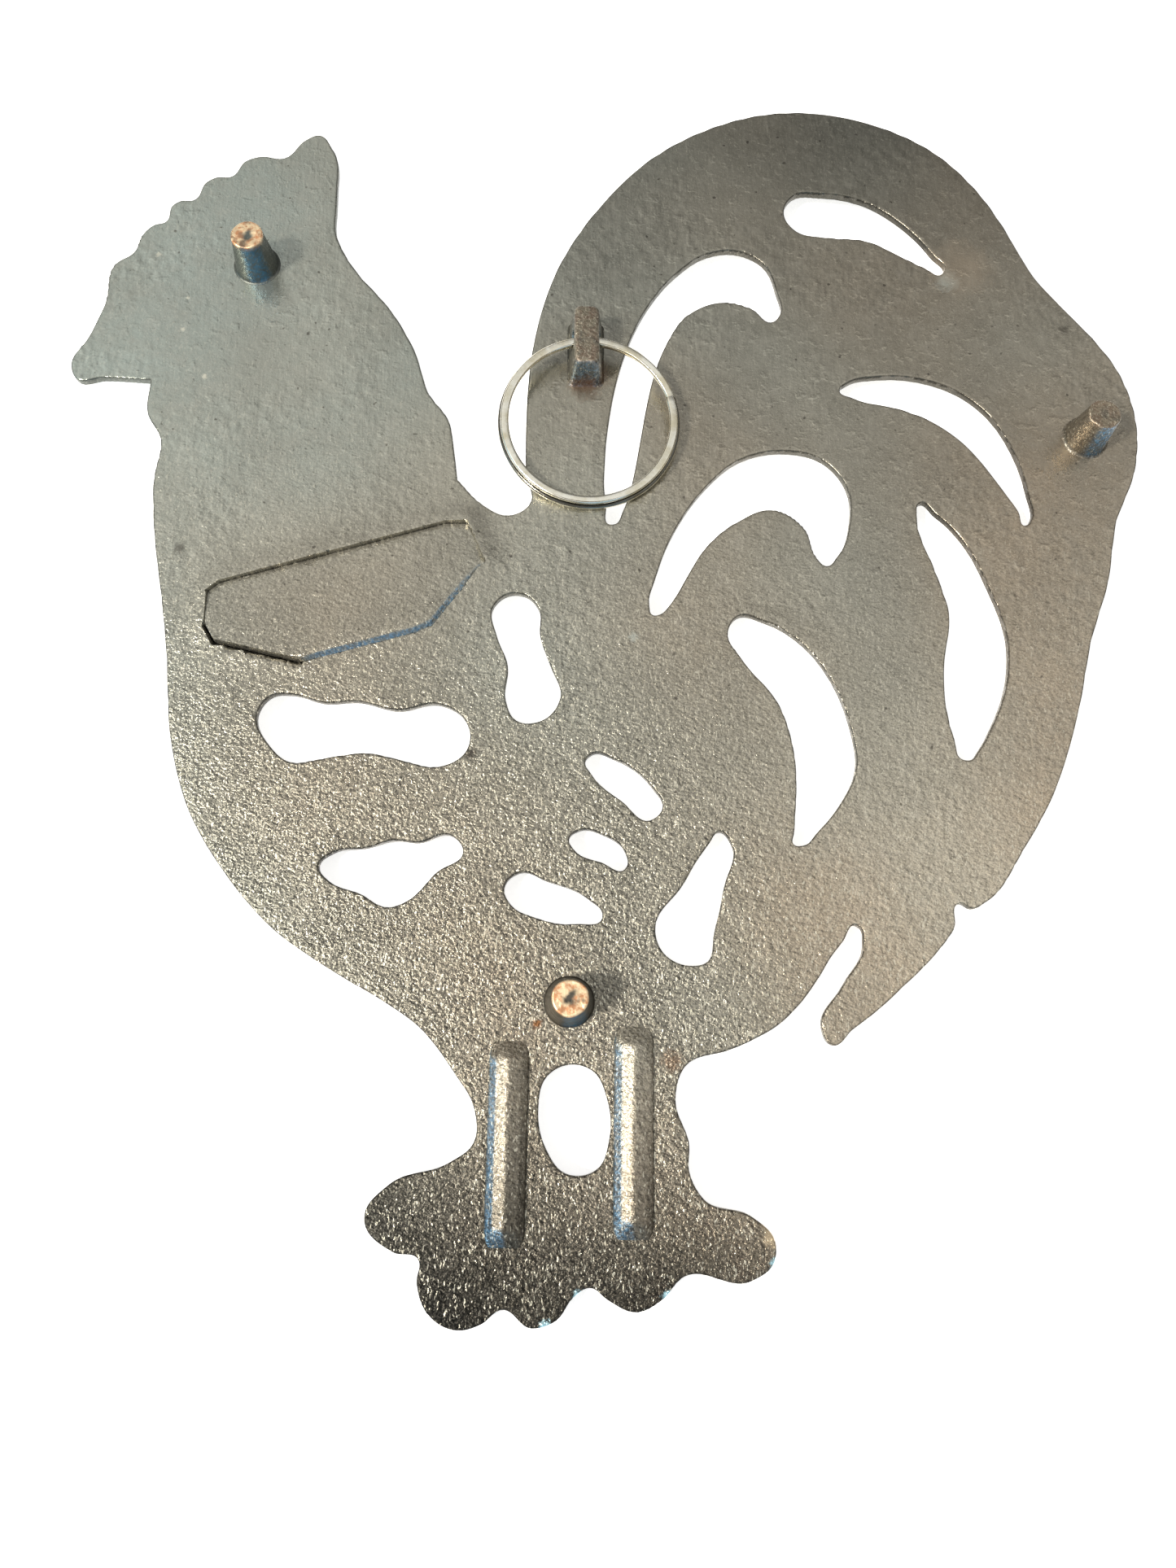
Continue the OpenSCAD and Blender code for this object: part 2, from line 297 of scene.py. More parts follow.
def rolled(depth, radius):
    """How far a rounded edge of that radius has dropped at that depth in from it."""
    if depth >= radius:
        return 0
    return radius - math.sqrt(radius**2 - (radius - depth) ** 2)


# A cast surface's slow swell and small ripples: length and height in millimetres, and where the noise starts
SWELLS = ((24, 0.12, (0, 0, 0)), (9, 0.035, (7, 3, 1)), (3.2, 0.012, (1, 9, 4)))


def unevenness(x, y):
    """How far a cast surface stands above its flat there."""
    spot = Vector((x, y, 0)) / MM
    return sum(height * noise.noise(spot / length + Vector(start)) for length, height, start in SWELLS) * MM


# ---------------------------------------------------------------- the casting


PLATE = Outline(flat_face_loops("rooster_plate", BACK), RIM_PITCH)
PANEL = Outline(flat_face_loops("maker_panel", BACK), RIM_PITCH, math.radians(5))
PANEL_LOW, PANEL_HIGH = (Vector(c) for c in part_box("maker_panel"))
PANEL_PITCH = 0.6 * MM
PANEL_OFFSETS = (0.15 * MM, 0.35 * MM, 0.6 * MM, 0.85 * MM)
# The pad leans up the direction RISE: its lower edge stands proud, and its upper edge is sunk that far
PANEL_PROUD = PANEL_HIGH.z - BACK
PANEL_SUNK = 0.6 * MM
PANEL_ROOT = 1.25 * MM
PANEL_RISE = Vector((-0.29, 0.957))
PANEL_CLIMBS = [Vector(p).dot(PANEL_RISE) for p in PANEL.loops[0]]
PANEL_BOTTOM, PANEL_TOP = min(PANEL_CLIMBS), max(PANEL_CLIMBS)
# The pad's lower edge is cut steep on the left and slopes on the right, and changes between those places
PANEL_DRAFT = (0.1 * MM, 0.95 * MM)
PANEL_DRAFT_FROM, PANEL_DRAFT_TO = -52 * MM, -46 * MM

# The pocket in the plate under the pad, and the rows of points that follow its wall, outside and inside
POCKET_DEPTH = 1.5 * MM
POCKET_OFFSETS = (-0.3 * MM, -0.18 * MM, -0.06 * MM, 0.1 * MM, 0.3 * MM)
# A crevice runs along the pad's edge below and left of this place, this wide at the top and at its floor
CREVICE_CORNER = Vector((-49, 1)) * MM
CREVICE_WIDTH = 0.42 * MM
CREVICE_FLOOR = 0.14 * MM
CREVICE_DEPTH = 1.2 * MM
# A soft rim runs round the pad: its rise all round, the extra along the top, and the extra at the right end
RIM_REACH = 2.2 * MM
RIM_RISE, RIM_RISE_ABOVE, RIM_RISE_RIGHT = 0.2, 0.2, 0.45
RIM_RIGHT_X = (-27 * MM, -22 * MM)
RIM_RIGHT_Y = (6 * MM, 11 * MM)
# Further than this from the pad's box the plate knows nothing of it
PANEL_MARGIN = 10 * MM


def panel_climb(x, y):
    """0 at the panel's proud lower edge, 1 at its sunk upper edge."""
    share = (Vector((x, y)).dot(PANEL_RISE) - PANEL_BOTTOM) / (PANEL_TOP - PANEL_BOTTOM)
    return min(max(share, 0), 1)


def around_panel(x, y):
    """How far the plate's back stands up or dips there: the pocket, the crevice and the soft rim."""
    beside = PANEL_LOW.x - PANEL_MARGIN < x < PANEL_HIGH.x + PANEL_MARGIN
    if not (beside and PANEL_LOW.y - PANEL_MARGIN < y < PANEL_HIGH.y + PANEL_MARGIN):
        return 0
    depth = PANEL.depth(x, y)
    if PANEL.holds(x, y):
        return -POCKET_DEPTH * ease(0, 0.3 * MM, depth)
    if x < CREVICE_CORNER.x and y < CREVICE_CORNER.y and depth < CREVICE_WIDTH:
        return -CREVICE_DEPTH * ease(CREVICE_WIDTH, CREVICE_FLOOR, depth)
    upper = ease(0.3, 0.9, panel_climb(x, y))
    right = ease(*RIM_RIGHT_X, x) * ease(*RIM_RIGHT_Y, y)
    rise = RIM_RISE + RIM_RISE_ABOVE * upper + RIM_RISE_RIGHT * right
    return rise * MM * math.exp(-((depth / RIM_REACH) ** 2))


def rooster_plate():
    """The pierced plate: flat at the back with rolled edges, and domed at the show face."""
    loop = PANEL.loops[0]
    inward = inward_normals(loop)
    pocket = [tuple(p) for offset in POCKET_OFFSETS for p in loop + inward * offset]
    xy, triangles = triangulate(PLATE, PLATE_PITCH, RIM_OFFSETS, pocket)
    top, bottom = [], []
    full = BACK - PLATE_LOW.z
    for x, y in xy:
        depth = PLATE.depth(x, y)
        swell = unevenness(x, y) * ease(0, 4 * MM, depth)
        top.append(BACK - rolled(depth, EDGE_ROLL) + swell + around_panel(x, y))
        bulge = math.sin(math.pi / 2 * min(depth / DOME_REACH, 1))
        bottom.append(BACK - EDGE_THICKNESS - (full - EDGE_THICKNESS) * bulge)
    return slab("RoosterPlate", xy, triangles, top, bottom)


def maker_panel():
    """The blank pad, leaning in its pocket."""
    xy, triangles = triangulate(PANEL, PANEL_PITCH, PANEL_OFFSETS)
    top = []
    for x, y in xy:
        lean = PANEL_PROUD - (PANEL_PROUD + PANEL_SUNK) * panel_climb(x, y) ** 1.7
        along = ease(PANEL_DRAFT_FROM, PANEL_DRAFT_TO, x)
        wide = PANEL_DRAFT[0] + (PANEL_DRAFT[1] - PANEL_DRAFT[0]) * along
        draft = max(lean, 0) * (1 - ease(-0.2 * wide, wide, PANEL.depth(x, y)))
        # The plate's swell, mirrored so that the pad doesn't repeat it
        top.append(BACK + lean - draft + 0.4 * unevenness(y, x))
    bottom = [BACK - PANEL_ROOT] * len(xy)
    return slab("MakerPanel", xy, triangles, top, bottom)


# The rib's section, from the foot of its side to its ridge: shares of its half width and of its height
RIB_SECTION = (
    (1, 0), (0.97, 0.16), (0.94, 0.26), (0.9, 0.31), (0.7, 0.57), (0.65, 0.63),
    (0.61, 0.67), (0.55, 0.71), (0.35, 0.83), (0.2, 0.92), (0.1, 0.97), (0, 0.985),
)
RIB_HEIGHT = 0.92
RIB_STATIONS = 90
# Over this length each end narrows to a share of the width and drops by a share of the height
RIB_END = 2.6 * MM
RIB_END_WIDTH = 0.66
RIB_END_DROP = 0.86
RIB_ROOT = 0.5 * MM


def leg_rib(node, name):
    """A bar with steep sides, broad bevels, a low ridge and sloping ends, sunk a little into the plate."""
    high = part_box(node)[1][2] - BACK
    corners = flat_face_loops(node, BACK)[0]
    middle = (corners.min(0) + corners.max(0)) / 2
    sides = [Vector(b) - Vector(a) for a, b in zip(corners, np.roll(corners, -1, 0))]
    along = max(sides, key=lambda side: side.length).normalized()
    across = Vector((-along.y, along.x))
    reach, half = (max(abs(way.dot(Vector(c - middle))) for c in corners) for way in (along, across))
    section = [*RIB_SECTION, *((-u, share) for u, share in reversed(RIB_SECTION[:-1]))]
    rings = []
    for i in range(RIB_STATIONS + 1):
        # Stations crowd together towards both ends
        place = reach * 0.998 * math.sin(math.pi * (i / RIB_STATIONS - 0.5))
        past = max(abs(place) - (reach - RIB_END), 0) / RIB_END
        wide = half * (RIB_END_WIDTH + (1 - RIB_END_WIDTH) * math.sqrt(1 - min(past, 1) ** 2))
        tall = RIB_HEIGHT * high * (1 - RIB_END_DROP * past**1.25)
        ring = []
        for u, share in section:
            spot = Vector(middle) + along * place + across * wide * u
            lumpy = 0.5 * unevenness(spot.x * 3, spot.y) * share
            ring.append((spot.x, spot.y, BACK + tall * share + lumpy))
        for side in (-1, 1):
            spot = Vector(middle) + along * place + across * wide * side
            ring.append((spot.x, spot.y, BACK - RIB_ROOT))
        rings.append(ring)
    return loft(name, rings)


# The fillet at a foot's root: how far out and how far up it goes
FILLET_RUN = 0.5 * MM
FILLET_RISE = 0.9 * MM
# The tip's radius as a share of the root's, and the roll of its edge
FOOT_TAPER = 0.77
FOOT_ROLL = 0.3 * MM
FOOT_ROOT = 0.3 * MM
# The straight side stops this far below the tip
FOOT_SHOULDER = 0.4 * MM
# How far out of round the fillet, the side, the rolled edge and the tip are
FILLET_WOBBLE, SIDE_WOBBLE, ROLL_WOBBLE, TIP_WOBBLE = (w * MM for w in (0.05, 0.07, 0.14, 0.1))


def foot(node, name):
    """A tapered peg with a fillet at its root and a ground, slightly battered tip."""
    low, high = (Vector(c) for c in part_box(node))
    middle = (low + high) / 2
    flare = (high.x - low.x) / 2
    root = flare - FILLET_RUN
    tip = FOOT_TAPER * root
    height = high.z - BACK
    rings = [circle(middle, flare, BACK - FOOT_ROOT, 0)]
    for i in range(6):
        turn = math.pi / 2 * i / 5
        radius = flare - FILLET_RUN * math.sin(turn)
        rings.append(circle(middle, radius, BACK + FILLET_RISE * (1 - math.cos(turn)), FILLET_WOBBLE))
    for i in range(1, 12):
        share = i / 12
        level = BACK + FILLET_RISE + (height - FILLET_RISE - FOOT_SHOULDER) * share
        rings.append(circle(middle, root + (tip - root) * share, level, SIDE_WOBBLE))
    for i in range(5):
        turn = math.pi / 2 * i / 4
        radius = tip - FOOT_ROLL * (1 - math.cos(turn))
        rings.append(circle(middle, radius, high.z - FOOT_ROLL * (1 - math.sin(turn)), ROLL_WOBBLE))
    for share in (0.86, 0.72, 0.58, 0.44, 0.3, 0.16):
        rings.append(circle(middle, tip * share, high.z - 0.06 * MM * (1 - share), TIP_WOBBLE))
    piece = loft(name, rings)
    for vertex in piece.data.vertices:
        if vertex.co.z > high.z - 0.2 * MM:
            vertex.co.z += 0.09 * MM * noise.noise(vertex.co / MM * 0.9)
    return piece


LUG_LOW, LUG_HIGH = (Vector(c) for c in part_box("hanger_lug"))
LUG_TAPER_X = 0.9 * MM
LUG_TAPER_Y = 0.5 * MM
LUG_ROLL = 0.55 * MM
LUG_CORNER = 1.1 * MM
LUG_ROOT = 0.3 * MM
# The fillet at the lug's root: height over the back, and how far out it stands there
LUG_FILLET = ((0, 0.25 * MM), (0.15 * MM, 0.12 * MM), (0.4 * MM, 0))
HINGE = Vector(frame["record"]["behaviour"]["joints"][0]["pos_m"])
# The cross hole, and how much wider it is at its mouths
HOLE_RADIUS = 1.65 * MM
HOLE_FLARE = 0.5 * MM


def cross_hole():
    """The cutter for the lug's hole: a round bar along X that flares at both mouths."""
    reach = (LUG_HIGH.x - LUG_LOW.x) / 2 + 0.5 * MM
    middle = (LUG_LOW.x + LUG_HIGH.x) / 2
    rings = []
    for i in range(13):
        along = reach * (i / 6 - 1)
        radius = HOLE_RADIUS + HOLE_FLARE * ease(0.5 * reach, reach, abs(along))
        ring = []
        for k in range(40):
            turn = 2 * math.pi * k / 40
            across = Vector((0, math.cos(turn), math.sin(turn))) * radius
            ring.append(Vector((middle + along, HINGE.y, HINGE.z)) + across)
        rings.append(ring)
    return loft("LugHoleCutter", rings)


def pierced(piece, cutter):
    """The piece's mesh with the cutter taken out of it. The cutter is removed."""
    cut = piece.modifiers.new("hole", "BOOLEAN")
    cut.object = cutter
    cut.operation = "DIFFERENCE"
    cut.solver = "EXACT"
    shape = piece.evaluated_get(bpy.context.evaluated_depsgraph_get())
    mesh = bpy.data.meshes.new_from_object(shape)
    piece.modifiers.clear()
    bpy.data.objects.remove(cutter)
    mesh.shade_smooth()
    mesh.set_sharp_from_angle(angle=math.radians(38))
    return mesh


def hanger_lug():
    """A tapered block with rounded edges and a fillet at its root, pierced for the ring."""
    middle = (LUG_LOW + LUG_HIGH) / 2
    half_x = (LUG_HIGH.x - LUG_LOW.x) / 2
    half_y = (LUG_HIGH.y - LUG_LOW.y) / 2
    rise = LUG_HIGH.z - BACK
    # Height over the back, how far out the fillet stands, and how far in the rolled top edge has come
    levels = [(-LUG_ROOT, LUG_FILLET[0][1], 0)]
    levels += [(height, flare, 0) for height, flare in LUG_FILLET]
    levels += [(rise * i / 14, 0, 0) for i in range(2, 13)]
    for i in range(6):
        turn = math.pi / 2 * i / 5
        levels.append((rise - LUG_ROLL * (1 - math.sin(turn)), 0, LUG_ROLL * (1 - math.cos(turn))))
    rings = []
    for height, flare, roll in levels:
        share = max(height, 0) / rise
        a = half_x - LUG_TAPER_X * share + flare - roll
        b = half_y - LUG_TAPER_Y * share + flare - roll
        pairs = rounded_rectangle(a, b, LUG_CORNER - 0.7 * roll, 16)
        rings.append([Vector((middle.x + x, middle.y + y, BACK + height)) for x, y in pairs])
    crown = Vector((middle.x, middle.y, LUG_HIGH.z))
    top_ring = rings[-1]
    for share in (0.7, 0.4, 0.15):
        rings.append([crown + (p - crown) * share for p in top_ring])
    piece = loft("HangerLug", rings)
    for vertex in piece.data.vertices:
        vertex.co += vertex.normal * 0.05 * MM * noise.noise(vertex.co / MM * 0.5)
    piece.data = pierced(piece, cross_hole())
    return piece


# ---------------------------------------------------------------- the split ring


# The ring is a flat strip wound two turns: how high both are together, and the gap between them
RING_STACK = 2.0 * MM
RING_GAP = 0.1 * MM
STRIP_CORNER = 0.42 * MM
# The lower turn stands out a little beyond the upper one
RING_OFFSETS = (0.2 * MM, -0.22 * MM)
# Where the strip's ends lie, and how far the step from one turn to the other reaches to either side
RING_ENDS_AT = math.radians(38)
RING_STEP = math.radians(20)
RING_STATIONS = 300
# How much of the section is left at the strip's very ends
RING_PINCH = 0.82
# How dark the sides of the strip are painted, as painted shade, where the two turns face each other
RING_GAP_SHADE = 0.85


def split_ring():
    """One strip wound two turns, which steps from the lower turn to the upper one beside its ends."""
    low, high = (Vector(c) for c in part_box("split_ring"))
    centre = (low + high) / 2
    mid_radius = (centre - HINGE).length
    half_width = (high.x - low.x) / 2 - mid_radius
    half_height = RING_STACK / 4 - RING_GAP / 2
    towards_hinge = (HINGE - centre).normalized()
    across = Vector((1, 0, 0))
    upward = across.cross(towards_hinge)
    section = rounded_rectangle(half_width, half_height, STRIP_CORNER, 9)
    level = RING_STACK / 4
    start = RING_STEP
    stop = 4 * math.pi - RING_STEP
    rings = []
    tarnish_and_shade = []
    for i in range(RING_STATIONS + 1):
        turn = start + (stop - start) * i / RING_STATIONS
        climb = ease(2 * math.pi - RING_STEP, 2 * math.pi + RING_STEP, turn)
        angle = RING_ENDS_AT + turn
        outward = across * math.cos(angle) + towards_hinge * math.sin(angle)
        radius = mid_radius + RING_OFFSETS[0] + (RING_OFFSETS[1] - RING_OFFSETS[0]) * climb
        height = level * (2 * climb - 1)
        pinch = RING_PINCH if i in (0, RING_STATIONS) else 1
        ring = []
        for out, up in section:
            ring.append(centre + outward * (radius + out * pinch) + upward * (height + up * pinch))
        rings.append(ring)
        # 1 where the other turn lies above, -1 where it lies below, 0 along the step
        inside = 0 if 0 < climb < 1 else 1 - 2 * climb
        # Painted shade on the sides of the strip where the other turn lies against it
        tarnish_and_shade += [1 - RING_GAP_SHADE * ease(0.15, 0.9, inside * up / half_height) for _, up in section]
    piece = loft("SplitRing", rings, 35)
    tarnish_and_shade += [1] * (len(piece.data.vertices) - len(tarnish_and_shade))
    piece.data.attributes.new("tarnish_and_shade", "FLOAT", "POINT").data.foreach_set("value", tarnish_and_shade)
    return piece


# ---------------------------------------------------------------- how the finish varies


# Where the plating is painted darker, partly as tarnish and partly as painted shade: place and reach in
# millimetres, and how far. Below zero it is painted brighter there.
TARNISH_AND_SHADE = (
    ((48, 104), (50, 27), 0.52),
    ((-6, 74), (20, 28), 0.20),
    ((62, 38), (46, 46), 0.18),
    ((-10, -56), (42, 34), 0.30),
    ((-54, -36), (42, 38), 0.42),
    ((-38, -84), (10, 8), 0.7),
    ((-28, -104), (36, 31), 0.97),
    ((8, -108), (28, 21), 0.96),
    ((46, -44), (28, 26), -0.30),
)
# A warm patina over the breast: place and reach in millimetres, and how far
PATINA = ((-48, -8), (24, 38), 0.3)

# How bright the ribs and the lug are beside the plate around them, and how sandy. The ribs are painted
# lighter, as painted light on their lit bevels
RIB_PAINTED_LIGHT, RIB_SAND = 1.35, 0.7
LUG_SHINE, LUG_SAND = 0.45, 6
# Of each foot: how bright its side is painted, darker as painted shade, and how far its tip is ground through
# to the bare metal
FEET = (
    ("head_foot", "HeadFoot", 0.34, 1.0),
    ("tail_foot", "TailFoot", 0.55, 0.12),
    ("breast_foot", "BreastFoot", 0.34, 1.0),
)
# A foot whose tip isn't ground has sand-cast grain on it instead
FOOT_SAND = 5
# Painted shade: how dark the walls of the outline and the cut-outs are, how far in that reaches, and how
# bright a crevice is
WALL_SHADE = 0.75
WALL_REACH = (0.28 * MM, 0.06 * MM)
CREVICE_SHADE = 0.15


def round_spot(x, y, middle, reach):
    """1 in the middle of a soft oval spot, 0 far from it."""
    (cx, cy), (rx, ry) = middle, reach
    return math.exp(-(((x / MM - cx) / rx) ** 2) - ((y / MM - cy) / ry) ** 2)


def tarnish_and_shade_at(x, y):
    """How bright the plating is painted there, for tarnish and for painted shade, from 0 to a little over 1.
    """
    bright = 1
    for middle, reach, amount in TARNISH_AND_SHADE:
        bright *= 1 - amount * round_spot(x, y, middle, reach)
    return bright


def paint(piece, tarnish_and_shade=1.0, sand=1.0, painted_shade=None, sheen=None, worn=None):
    """Stores on each vertex how warm and sandy the plating is there, how far it is worn through, how bright
    it is painted for tarnish and for painted shade, and how much painted window reflection it has.
    """
    mesh = piece.data
    fields = {name: [] for name in ("warm", "tarnish_and_shade", "grain", "worn", "window_reflection")}
    for vertex in mesh.vertices:
        x, y, _ = vertex.co
        u, v = x / HALF_WIDTH, y / HALF_HEIGHT
        drift = noise.noise(vertex.co / MM / 30) * 0.35
        patina = PATINA[2] * round_spot(x, y, *PATINA[:2])
        fields["warm"].append(min(max(0.55 + 0.45 * u - 0.28 * v + drift + patina, 0), 1))
        fields["tarnish_and_shade"].append(tarnish_and_shade_at(x, y) * tarnish_and_shade * (painted_shade(vertex) if painted_shade else 1))
        # Sandy towards the claws, and less so on the tail's side
        lower = ease(0.5, -0.6, v + 0.2 * drift)
        fields["grain"].append(min(sand * (0.1 + 0.9 * lower * (1 - 0.5 * ease(0, 0.5, u))), 1))
        fields["window_reflection"].append(sheen(vertex) if sheen else 0)
        fields["worn"].append(worn(vertex) if worn else 0)
    for name, values in fields.items():
        mesh.attributes.new(name, "FLOAT", "POINT").data.foreach_set("value", values)


def plate_wall_shade(vertex):
    """Painted shade: dark walls round the outline and the cut-outs, and a dark crevice beside the panel."""
    x, y, _ = vertex.co
    if around_panel(x, y) < -0.05 * MM:
        return CREVICE_SHADE
    return 1 - WALL_SHADE * ease(*WALL_REACH, PLATE.depth(x, y))


def rib_side_shade(vertex):
    """Painted shade on the steep sides."""
    return 1 - 0.5 * ease(0.5, 0.25, vertex.normal.z)


def facing(vertex, towards, low, high):
    """0 where the surface faces less than low towards there, 1 where it faces more than high."""
    return ease(low, high, vertex.normal.dot(Vector(towards)))


def rib_sheen(vertex):
    """Painted reflection of the windows, in blue, on the rib's left bevel and lower end, which face them."""
    return 0.65 * facing(vertex, (-0.75, -0.65, 0.1), 0.36, 0.56)


def panel_sheen(vertex):
    """Painted reflection of the windows, in blue, on the slope along the panel's lower right edge, which
    faces them.
    """
    along = ease(-50 * MM, -45 * MM, vertex.co.x)
    return 0.7 * along * facing(vertex, (0.3, -0.95, 0), 0.25, 0.45)


def foot_sheen(vertex):
    """Painted reflection of the windows, in blue, on a band down the foot's near side, which faces it."""
    return 0.75 * facing(vertex, (0.28, -0.95, 0.1), 0.72, 0.97)


def lug_sheen(vertex):
    """Painted reflection of the windows, in blue, on the lug's near end, which faces them."""
    return 0.45 * facing(vertex, (0, -1, 0), 0.3, 0.9)


def worn_tip(middle, height, wear):
    """How bare a foot's tip is ground: at the top, and round a dark middle."""

    def bare(vertex):
        away = (vertex.co.xy - middle.xy).length + 0.9 * MM * noise.noise(vertex.co / MM * 1.1)
        return wear * ease(height - 0.5 * MM, height, vertex.co.z) * ease(0.3 * MM, 1.3 * MM, away)

    return bare


def worn_crown(vertex):
    """A little bare metal along the lug's top."""
    return 0.12 * ease(LUG_HIGH.z - 0.6 * MM, LUG_HIGH.z - 0.1 * MM, vertex.co.z)


# ---------------------------------------------------------------- materials


# Where the key lamp is seen from the plate, and the same along the plate
KEY_TOWARDS = Vector((-0.583, -0.261, 0.770))
KEY_SIDE = Vector((KEY_TOWARDS.x, KEY_TOWARDS.y, 0)).normalized()


class Nodes:
    """Short-hand for building the nodes of one tree."""

    def __init__(self, tree):
        self.tree = tree

    def add(self, kind, inputs=None, **settings):
        """A node, with its settings, and with each input linked to a socket or set to a value."""
        made = self.tree.nodes.new(kind)
        for key, value in settings.items():
            setattr(made, key, value)
        for key, value in (inputs or {}).items():
            self.put(made.inputs[key], value)
        return made

    def put(self, socket, value):
        if isinstance(value, bpy.types.NodeSocket):
            self.tree.links.new(value, socket)
        else:
            socket.default_value = value

    def math(self, operation, a, b=0.0, c=0.0):
        return self.add("ShaderNodeMath", {0: a, 1: b, 2: c}, operation=operation).outputs[0]

    def span(self, value, low, high, to_low=0.0, to_high=1.0, **settings):
        """value brought from low..high to to_low..to_high, and held there."""
        made = self.add(
            "ShaderNodeMapRange",
            {"Value": value, "From Min": low, "From Max": high, "To Min": to_low, "To Max": to_high},
            **settings,
        )
        return made.outputs[0]

    def mix(self, share, a, b):
        """Colour a, with that share of colour b."""
        made = self.add("ShaderNodeMix", data_type="RGBA")
        self.put(made.inputs["Factor"], share)
        self.put(made.inputs[6], a)
        self.put(made.inputs[7], b)
        return made.outputs[2]

    def scale(self, colour, share):
        return self.add("ShaderNodeVectorMath", {0: colour, "Scale": share}, operation="SCALE").outputs[0]


class Shader(Nodes):
    """Short-hand for building one material's nodes, in the object's own coordinates."""

    def __init__(self, name):
        self.material = bpy.data.materials.new(name)
        self.material.use_nodes = True
        super().__init__(self.material.node_tree)
        self.surface = self.tree.nodes["Principled BSDF"]
        self.coords = self.add("ShaderNodeTexCoord").outputs["Object"]

    def field(self, name):
        """What paint stored on the vertices under that name."""
        return self.add("ShaderNodeAttribute", attribute_name=name).outputs["Fac"]

    def noise(self, size, detail=2.0, rough=0.5, stretch=(1, 1, 1), turn=0.0, shift=(0, 0, 0)):
        """Noise whose blotches are about that size in metres, finer along the axes that are stretched."""
        placed = self.add(
            "ShaderNodeMapping",
            {"Vector": self.coords, "Scale": stretch, "Rotation": (0, 0, turn), "Location": shift},
        )
        made = self.add(
            "ShaderNodeTexNoise",
            {"Vector": placed.outputs[0], "Scale": 1 / size, "Detail": detail, "Roughness": rough},
        )
        return made.outputs["Fac"]

    def lit(self, size, detail, rough, stretch=(1, 1, 1), turn=0.0, shift=(0, 0, 0)):
        """Above 0 where noise like that slopes down towards the key lamp, below 0 where it slopes away."""
        step = KEY_SIDE * size * 0.25
        moved = Matrix.Rotation(turn, 3, "Z") @ Vector((step.x * stretch[0], step.y * stretch[1], 0))
        here = self.noise(size, detail, rough, stretch, turn, shift)
        there = self.noise(size, detail, rough, stretch, turn, Vector(shift) + moved)
        return self.math("SUBTRACT", here, there)

    def spot(self, place, radius, softness):
        """1 within a round mark at that place on the back, 0 outside."""
        away = self.add("ShaderNodeVectorMath", {0: self.coords, 1: place}, operation="DISTANCE")
        ragged = self.math("MULTIPLY", self.noise(radius * 0.8, 4, 0.7), radius * 2.4)
        reach = self.math("ADD", away.outputs["Value"], ragged)
        return self.span(reach, radius * (1.9 + softness), radius * 1.7)

    def bump(self, height, distance, under=None):
        made = self.add("ShaderNodeBump", {"Height": height, "Distance": distance, "Strength": 1.0})
        if under:
            self.put(made.inputs["Normal"], under)
        return made.outputs[0]

    def finish(self, **sockets):
        for name, value in sockets.items():
            self.put(self.surface.inputs[name.replace("_", " ")], value)
        return self.material


# Colours of the plating, from the head's to the tail's, of its stains and worn places, and of its painted
# shade, glints, highlights and window reflection
GREEN_GREY = (0.39, 0.44, 0.405, 1)
WARM_GREY = (0.49, 0.405, 0.305, 1)
CLOUD = (0.27, 0.26, 0.22, 1)
MOTTLE = (0.50, 0.48, 0.42, 1)
CHAMPAGNE_GLINT = (0.62, 0.56, 0.40, 1)
HOLLOW_SHADE = (0.13, 0.12, 0.10, 1)
RUST = (0.20, 0.085, 0.03, 1)
COPPER = (0.66, 0.33, 0.17, 1)
CREAM_WEAR_AND_HIGHLIGHT = (0.92, 0.72, 0.47, 1)
SMUDGE = (0.16, 0.13, 0.10, 1)
PALE = (0.62, 0.66, 0.60, 1)
DARK_SPOT = (0.07, 0.06, 0.05, 1)
PAINTED_WINDOW_BLUE = (0.07, 0.22, 0.38, 1)
PAINTED_CYAN_HIGHLIGHT = (0.55, 0.88, 1.0, 1)
PAINTED_GLINT = (0.95, 0.90, 0.74, 1)

# The cast grain is a little finer along Y, and its noise is turned after that
SAND_STRETCH, SAND_TURN = (1, 1.25, 1), math.radians(35)
# The turn of the brushing's noise, which is drawn out along Y, and where the noise of the lumps starts
BRUSH_TURN = math.radians(28)
LUMPS_AT = (4, 2, 6)

